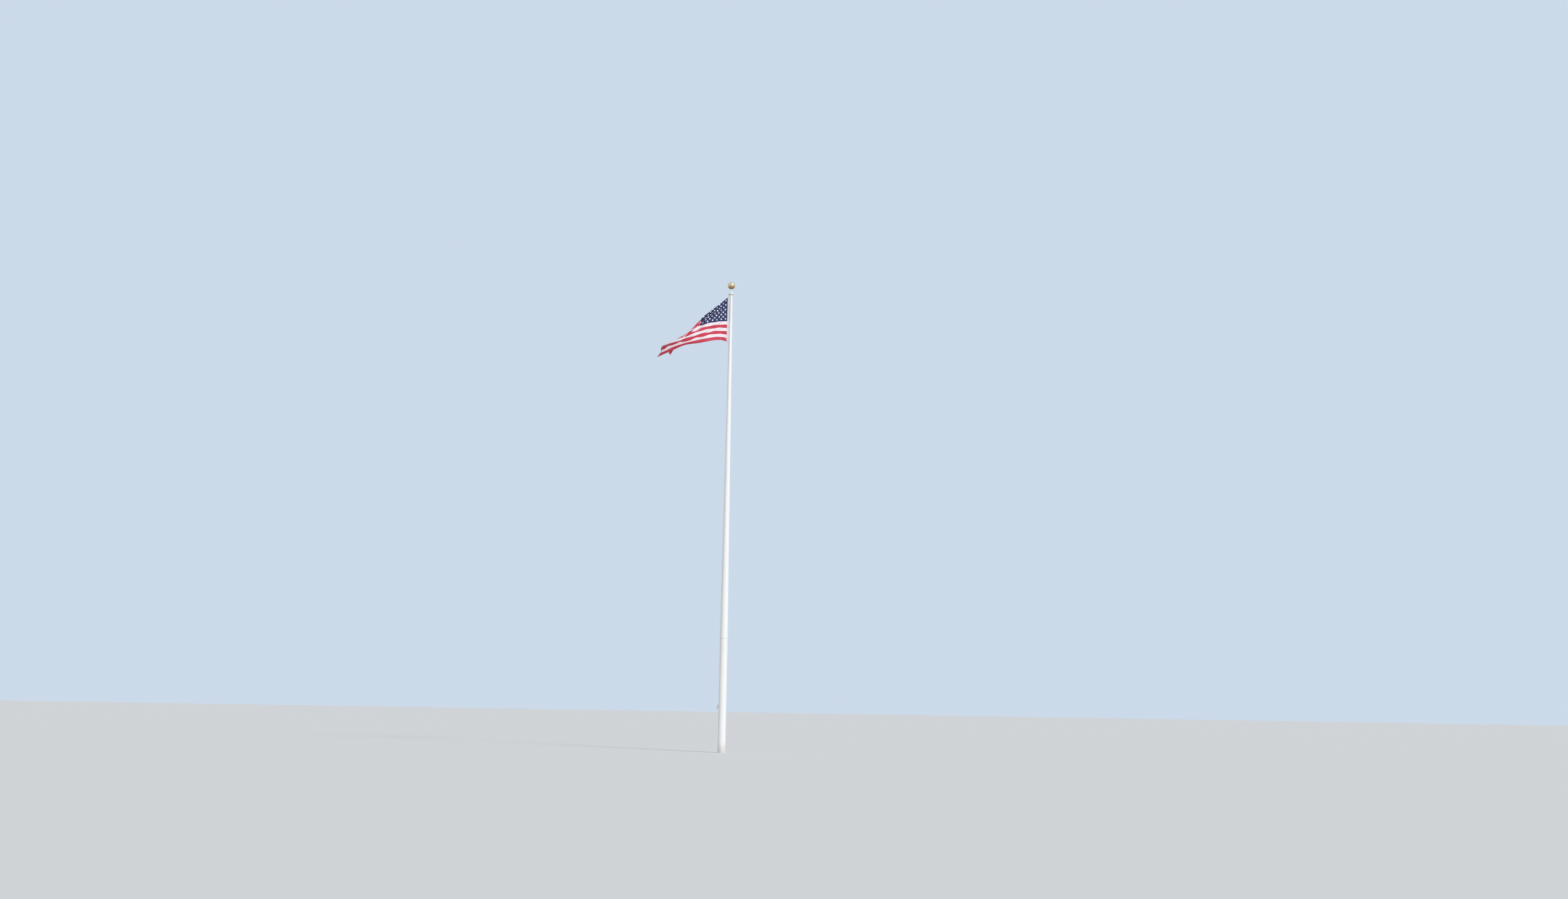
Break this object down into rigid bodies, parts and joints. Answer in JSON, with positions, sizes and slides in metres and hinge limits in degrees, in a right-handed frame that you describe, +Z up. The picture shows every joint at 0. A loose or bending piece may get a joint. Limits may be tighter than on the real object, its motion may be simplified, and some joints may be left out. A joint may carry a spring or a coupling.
{
  "type": "flagpole",
  "caption": "Tall white tapered tube pole with a hooded truck and sheave, a gilt ball, a halyard on a horn cleat, and a drooping striped flag on snap hooks.",
  "frame": {"origin": "middle of the tube's foot, at ground level", "axes": "+Z up the pole; the flag flies towards -X; -Y faces the viewer of the picture"},
  "size_m": [3.0802, 1.1703, 18.8288],
  "materials": {
    "white_paint": "gloss",
    "sleeve_metal": "satin",
    "screw_steel": "satin",
    "bright_metal": "satin",
    "gilt": "gloss",
    "rope": "matte",
    "whipping": "matte",
    "snap_bronze": "satin",
    "grommet_brass": "satin",
    "canvas": "matte",
    "flag_cloth": "satin"
  },
  "bodies": {
    "mast": {"butt_section": "white_paint", "taper_section": "white_paint", "joint_sleeve": "sleeve_metal", "truck_body": "white_paint", "truck_set_screws": "screw_steel", "truck_hood": "white_paint", "hood_locknut": "bright_metal", "ball_spindle": "bright_metal", "ball_seat": "white_paint", "ball": "gilt", "sheave_pin": "screw_steel", "halyard_over_sheave": "rope", "halyard_flag_fall": "rope", "halyard_return_fall": "rope", "halyard_on_cleat": "rope", "cleat": "bright_metal", "cleat_screws": "screw_steel"},
    "sheave": {"sheave": "bright_metal"},
    "hitches": {"upper_hitch": "whipping", "lower_hitch": "whipping"},
    "flag": {"upper_snap_hook": "snap_bronze", "upper_snap_gate": "screw_steel", "upper_snap_eye": "snap_bronze", "lower_snap_hook": "snap_bronze", "lower_snap_gate": "screw_steel", "lower_snap_eye": "snap_bronze", "upper_grommet": "grommet_brass", "lower_grommet": "grommet_brass", "flag_heading": "canvas", "flag_cloth": "flag_cloth"}
  },
  "joints": [
    {"name": "sheave_spin", "type": "hinge", "parent": "mast", "child": "sheave", "pos_m": [-0.076, 0, 18.256], "axis": [1, 0, 0], "continuous": true},
    {"name": "flag_hoist", "type": "slide", "parent": "mast", "child": "hitches", "axis": [0.0075, 0, 1], "range_m": [-14.2, 0]},
    {"name": "flag_swing", "type": "hinge", "parent": "hitches", "child": "flag", "pos_m": [-0.076, 0.024, 18.256], "axis": [0.0075, 0, 1], "range_deg": [-70, 60]}
  ]
}
